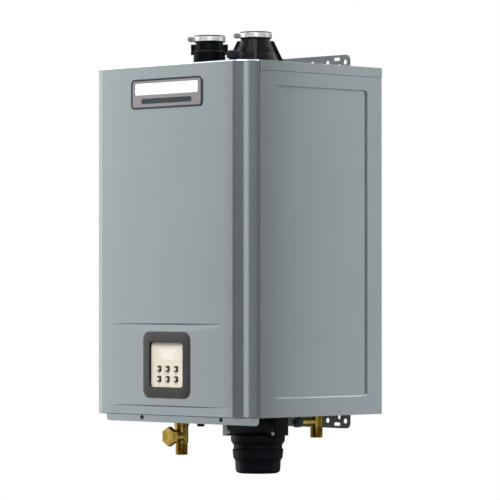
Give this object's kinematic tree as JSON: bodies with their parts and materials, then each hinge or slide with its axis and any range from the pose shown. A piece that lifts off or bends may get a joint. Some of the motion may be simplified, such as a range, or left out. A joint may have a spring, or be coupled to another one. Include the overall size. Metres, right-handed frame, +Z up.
{
  "type": "tankless water heater",
  "caption": "Wall-hung gas water heater with a rounded pressed front cover, keypad, vent collars, wall brackets and pipe stubs below.",
  "frame": {"origin": "centre of the upper wall bracket's rear face, on the wall plane", "axes": "+Z up, +Y into the wall so the front faces -Y, +X to the right as seen from the front"},
  "size_m": [0.464, 0.404, 0.9126],
  "materials": {
    "paint": "satin",
    "galvanised": "matte",
    "steel": "satin",
    "brass": "satin",
    "black_plastic": "satin",
    "black_rubber": "matte",
    "charcoal_plastic": "satin",
    "cream_plastic": "satin",
    "key_rubber": "satin",
    "nameplate": "satin",
    "copper": "satin",
    "aluminium": "satin",
    "board": "satin",
    "white_plastic": "satin"
  },
  "bodies": {
    "case": {"case_shell": "paint", "top_panel": "paint", "bottom_panel": "paint", "front_cover": "paint", "cover_screw_left": "steel", "cover_screw_right": "steel", "nameplate": "nameplate", "wall_bracket_upper": "galvanised", "wall_bracket_lower": "galvanised", "control_bezel": "charcoal_plastic", "control_faceplate": "cream_plastic", "display_lens": "cream_plastic", "display_board": "board", "exhaust_collar": "black_plastic", "intake_collar": "black_plastic", "exhaust_seal": "black_rubber", "intake_seal": "black_rubber", "exhaust_clamp": "steel", "intake_clamp": "steel", "test_port_cap": "black_plastic", "outlet_tee": "brass", "tee_plug": "brass", "inlet_elbow": "brass", "gas_inlet": "brass", "cable_gland": "black_plastic", "filter_bracket": "galvanised", "filter_head": "black_plastic", "filter_screw_left": "steel", "filter_screw_right": "steel", "burner_box": "aluminium", "main_exchanger": "copper", "condensing_exchanger": "steel", "exhaust_duct": "aluminium", "fan_housing": "aluminium", "fan_motor": "galvanised", "gas_valve": "aluminium", "gas_manifold": "aluminium", "gas_pipe": "galvanised", "control_board_box": "charcoal_plastic", "igniter": "charcoal_plastic", "condensate_trap": "white_plastic", "flow_sensor": "charcoal_plastic", "cold_pipe": "copper", "hot_pipe": "copper"},
    "key_1": {"button_1": "key_rubber"},
    "key_2": {"button_2": "key_rubber"},
    "key_3": {"button_3": "key_rubber"},
    "key_4": {"button_4": "key_rubber"},
    "key_5": {"button_5": "key_rubber"},
    "key_6": {"button_6": "key_rubber"},
    "bowl": {"filter_bowl": "black_plastic", "filter_cartridge": "white_plastic"},
    "drain": {"drain_knob": "black_plastic", "strainer": "steel"},
    "fan": {"fan_wheel": "black_plastic"},
    "turbine": {"flow_turbine": "white_plastic"}
  },
  "joints": [
    {"name": "key_1_press", "type": "slide", "parent": "case", "child": "key_1", "axis": [0, 1, 0], "range_m": [0, 0.0008], "stiffness_N_per_m": 800},
    {"name": "key_2_press", "type": "slide", "parent": "case", "child": "key_2", "axis": [0, 1, 0], "range_m": [0, 0.0008], "stiffness_N_per_m": 800},
    {"name": "key_3_press", "type": "slide", "parent": "case", "child": "key_3", "axis": [0, 1, 0], "range_m": [0, 0.0008], "stiffness_N_per_m": 800},
    {"name": "key_4_press", "type": "slide", "parent": "case", "child": "key_4", "axis": [0, 1, 0], "range_m": [0, 0.0008], "stiffness_N_per_m": 800},
    {"name": "key_5_press", "type": "slide", "parent": "case", "child": "key_5", "axis": [0, 1, 0], "range_m": [0, 0.0008], "stiffness_N_per_m": 800},
    {"name": "key_6_press", "type": "slide", "parent": "case", "child": "key_6", "axis": [0, 1, 0], "range_m": [0, 0.0008], "stiffness_N_per_m": 800},
    {"name": "bowl_twist", "type": "hinge", "parent": "case", "child": "bowl", "pos_m": [0.146, -0.282, -0.8185], "axis": [0, 0, 1], "range_deg": [0, 60]},
    {"name": "drain_turn", "type": "hinge", "parent": "case", "child": "drain", "pos_m": [0.157, -0.178, -0.742], "axis": [0, 1, 0], "range_deg": [0, 720]},
    {"name": "fan_spin", "type": "hinge", "parent": "case", "child": "fan", "pos_m": [0.01, -0.226, -0.55591], "axis": [0, 1, 0], "continuous": true},
    {"name": "turbine_spin", "type": "hinge", "parent": "case", "child": "turbine", "pos_m": [0.157, -0.122, -0.6655], "axis": [0, 0, 1], "continuous": true}
  ]
}
